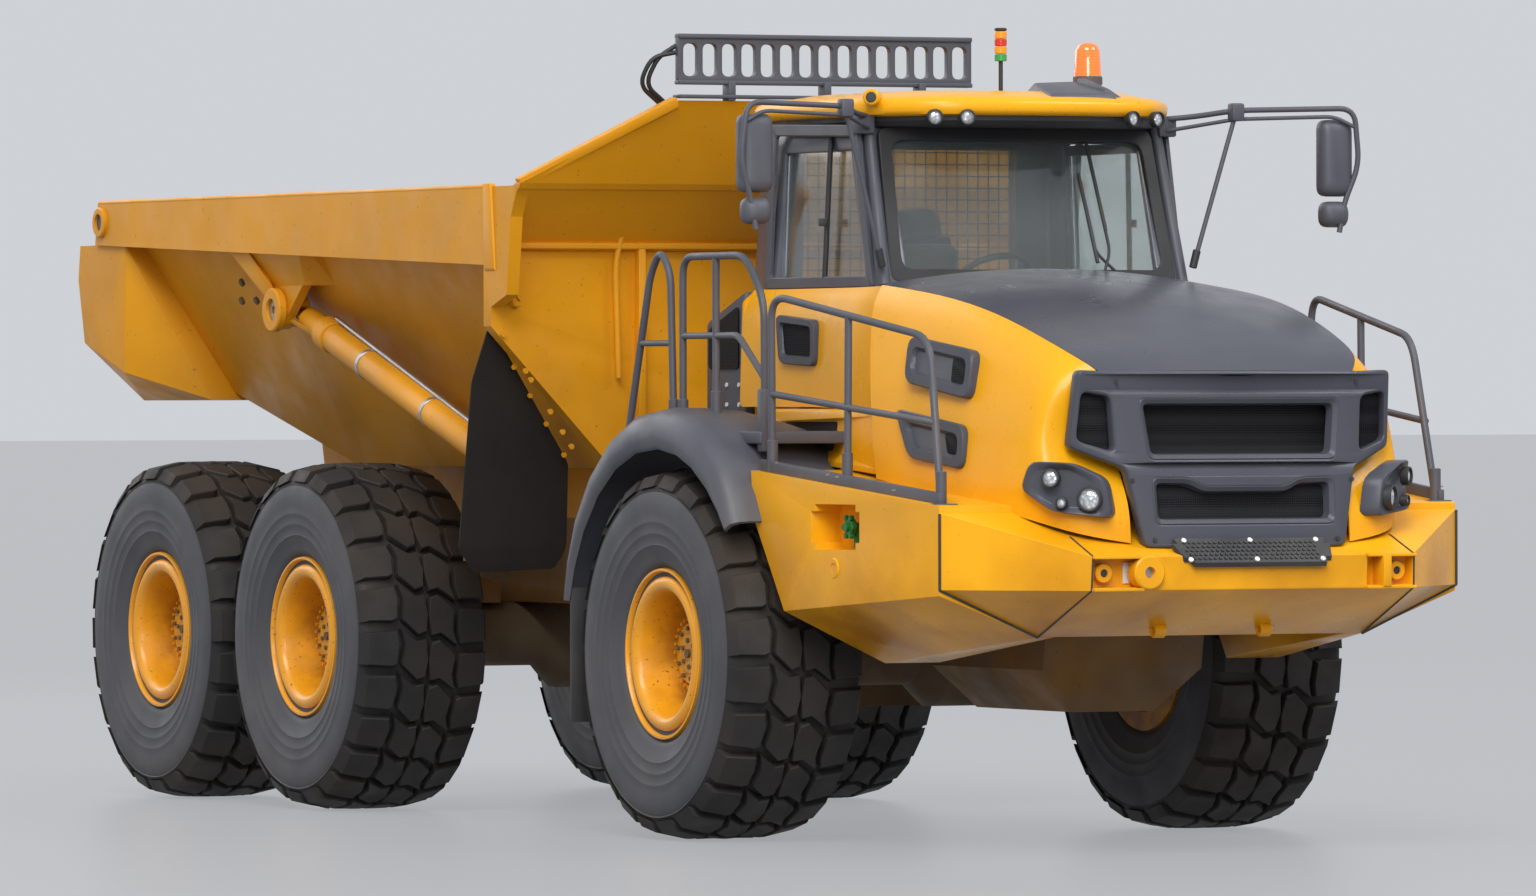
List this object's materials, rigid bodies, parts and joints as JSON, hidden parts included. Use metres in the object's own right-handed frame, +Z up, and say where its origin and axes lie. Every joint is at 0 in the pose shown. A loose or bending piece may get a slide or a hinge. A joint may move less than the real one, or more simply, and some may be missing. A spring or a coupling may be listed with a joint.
{
  "type": "articulated dump truck",
  "caption": "Six-wheel articulated dump truck with a cab and hood unit, a steering hitch and a rear frame with a tipping body.",
  "frame": {"origin": "on the ground, under the middle of the truck", "axes": "+Z up, the truck faces -Y, +X is its left side"},
  "size_m": [3.49, 10.69, 4.063],
  "materials": {
    "yellow_paint": "gloss enamel",
    "graphite_paint": "satin",
    "black_trim": "matte",
    "tyre_rubber": "matte",
    "flap_rubber": "matte",
    "bare_steel": "brushed",
    "cast_axle": "painted and dusty",
    "chrome": "polished",
    "glass": "tinted",
    "seat_cloth": "woven"
  },
  "bodies": {
    "front_unit": {"front_frame": "yellow_paint", "front_axle": "cast_axle", "engine": "bare_steel", "front_bumper": "yellow_paint", "side_box_right": "yellow_paint", "side_box_left": "yellow_paint", "box_rail_right": "graphite_paint", "box_rail_left": "graphite_paint", "mudguard_right": "black_trim", "mudguard_left": "black_trim", "deck_right": "yellow_paint", "deck_left": "yellow_paint", "deck_rail_right": "graphite_paint", "deck_rail_left": "graphite_paint", "cab_shell": "yellow_paint", "windscreen": "glass", "side_glass": "glass", "rear_glass": "glass", "cab_roof": "yellow_paint", "driver_seat": "seat_cloth", "console": "black_trim", "side_panel_right": "yellow_paint", "mirror_right": "black_trim", "mirror_left": "black_trim"},
    "hood": {"hood": "yellow_paint", "grille": "graphite_paint"},
    "cab_door": {"cab_door": "yellow_paint", "door_glass": "glass"},
    "hitch": {"hitch": "yellow_paint"},
    "rear_unit": {"rear_frame": "yellow_paint", "middle_axle": "cast_axle", "rear_axle": "cast_axle", "walking_beam_right": "yellow_paint", "walking_beam_left": "yellow_paint"},
    "tipping_body": {"tipping_body": "yellow_paint", "headboard_guard": "black_trim", "rubber_flap_right": "flap_rubber", "rubber_flap_left": "flap_rubber"},
    "hoist_barrel_right": {"hoist_barrel_right": "yellow_paint"},
    "hoist_rod_right": {"hoist_rod_right": "chrome"},
    "steer_barrel_right": {"steer_barrel_right": "yellow_paint"},
    "steer_rod_right": {"steer_rod_right": "chrome"},
    "front_wheel_right": {"tyre_front_right": "tyre_rubber", "rim_front_right": "yellow_paint"},
    "middle_wheel_right": {"tyre_middle_right": "tyre_rubber", "rim_middle_right": "yellow_paint"},
    "rear_wheel_right": {"tyre_rear_right": "tyre_rubber", "rim_rear_right": "yellow_paint"},
    "hoist_barrel_left": {"hoist_barrel_left": "yellow_paint"},
    "hoist_rod_left": {"hoist_rod_left": "chrome"},
    "steer_barrel_left": {"steer_barrel_left": "yellow_paint"},
    "steer_rod_left": {"steer_rod_left": "chrome"},
    "front_wheel_left": {"tyre_front_left": "tyre_rubber", "rim_front_left": "yellow_paint"},
    "middle_wheel_left": {"tyre_middle_left": "tyre_rubber", "rim_middle_left": "yellow_paint"},
    "rear_wheel_left": {"tyre_rear_left": "tyre_rubber", "rim_rear_left": "yellow_paint"}
  },
  "joints": [
    {"name": "steer", "type": "hinge", "parent": "front_unit", "child": "hitch", "pos_m": [0, -0.975, 1], "axis": [0, 0, 1], "range_deg": [-42, 42]},
    {"name": "twist", "type": "hinge", "parent": "hitch", "child": "rear_unit", "pos_m": [0, -0.655, 1], "axis": [0, 1, 0], "range_deg": [-15, 15]},
    {"name": "tip", "type": "hinge", "parent": "rear_unit", "child": "tipping_body", "pos_m": [0, 4.175, 1.45], "axis": [-1, 0, 0], "range_deg": [0, 70]},
    {"name": "hood_tilt", "type": "hinge", "parent": "front_unit", "child": "hood", "pos_m": [0, -5.295, 1.56], "axis": [1, 0, 0], "range_deg": [0, 60]},
    {"name": "door_swing", "type": "hinge", "parent": "front_unit", "child": "cab_door", "pos_m": [0.876, -2.975, 2.425], "axis": [0, 0, -1], "range_deg": [0, 80]},
    {"name": "front_wheel_right_spin", "type": "hinge", "parent": "front_unit", "child": "front_wheel_right", "pos_m": [-1.355, -2.275, 0.925], "axis": [1, 0, 0], "continuous": true},
    {"name": "middle_wheel_right_spin", "type": "hinge", "parent": "rear_unit", "child": "middle_wheel_right", "pos_m": [-1.355, 2.125, 0.925], "axis": [1, 0, 0], "continuous": true},
    {"name": "rear_wheel_right_spin", "type": "hinge", "parent": "rear_unit", "child": "rear_wheel_right", "pos_m": [-1.355, 4.075, 0.925], "axis": [1, 0, 0], "continuous": true},
    {"name": "front_wheel_left_spin", "type": "hinge", "parent": "front_unit", "child": "front_wheel_left", "pos_m": [1.355, -2.275, 0.925], "axis": [1, 0, 0], "continuous": true},
    {"name": "middle_wheel_left_spin", "type": "hinge", "parent": "rear_unit", "child": "middle_wheel_left", "pos_m": [1.355, 2.125, 0.925], "axis": [1, 0, 0], "continuous": true},
    {"name": "rear_wheel_left_spin", "type": "hinge", "parent": "rear_unit", "child": "rear_wheel_left", "pos_m": [1.355, 4.075, 0.925], "axis": [1, 0, 0], "continuous": true},
    {"name": "hoist_barrel_right_hinge", "type": "hinge", "parent": "rear_unit", "child": "hoist_barrel_right", "pos_m": [-1.42, 0.235, 1.875], "axis": [-1, 0, 0], "range_deg": [-1, 2.52]},
    {"name": "hoist_rod_right_slide", "type": "slide", "parent": "hoist_barrel_right", "child": "hoist_rod_right", "axis": [0, 0.9538, 0.3005], "range_m": [0, 2.1403]},
    {"name": "hoist_barrel_left_hinge", "type": "hinge", "parent": "rear_unit", "child": "hoist_barrel_left", "pos_m": [1.42, 0.235, 1.875], "axis": [-1, 0, 0], "range_deg": [-1, 2.52]},
    {"name": "hoist_rod_left_slide", "type": "slide", "parent": "hoist_barrel_left", "child": "hoist_rod_left", "axis": [0, 0.9538, 0.3005], "range_m": [0, 2.1403]},
    {"name": "steer_barrel_right_hinge", "type": "hinge", "parent": "front_unit", "child": "steer_barrel_right", "pos_m": [-0.5, -1.925, 1.005], "axis": [0, 0, 1], "range_deg": [-5, 5]},
    {"name": "steer_rod_right_slide", "type": "slide", "parent": "steer_barrel_right", "child": "steer_rod_right", "axis": [0.0712, 0.9975, 0], "range_m": [-0.32, 0.32]},
    {"name": "steer_barrel_left_hinge", "type": "hinge", "parent": "front_unit", "child": "steer_barrel_left", "pos_m": [0.5, -1.925, 1.005], "axis": [0, 0, 1], "range_deg": [-5, 5]},
    {"name": "steer_rod_left_slide", "type": "slide", "parent": "steer_barrel_left", "child": "steer_rod_left", "axis": [-0.0712, 0.9975, 0], "range_m": [-0.32, 0.32]}
  ],
  "couplings": [
    {"joint": "hoist_barrel_right_hinge", "follows": "tip", "ratio": 0.02169},
    {"joint": "hoist_rod_right_slide", "follows": "tip", "m_per_rad": 1.7502},
    {"joint": "hoist_barrel_left_hinge", "follows": "tip", "ratio": 0.02169},
    {"joint": "hoist_rod_left_slide", "follows": "tip", "m_per_rad": 1.7502},
    {"joint": "steer_barrel_right_hinge", "follows": "steer", "ratio": 0.08576},
    {"joint": "steer_rod_right_slide", "follows": "steer", "m_per_rad": -0.40362},
    {"joint": "steer_barrel_left_hinge", "follows": "steer", "ratio": 0.08576},
    {"joint": "steer_rod_left_slide", "follows": "steer", "m_per_rad": 0.40362}
  ]
}
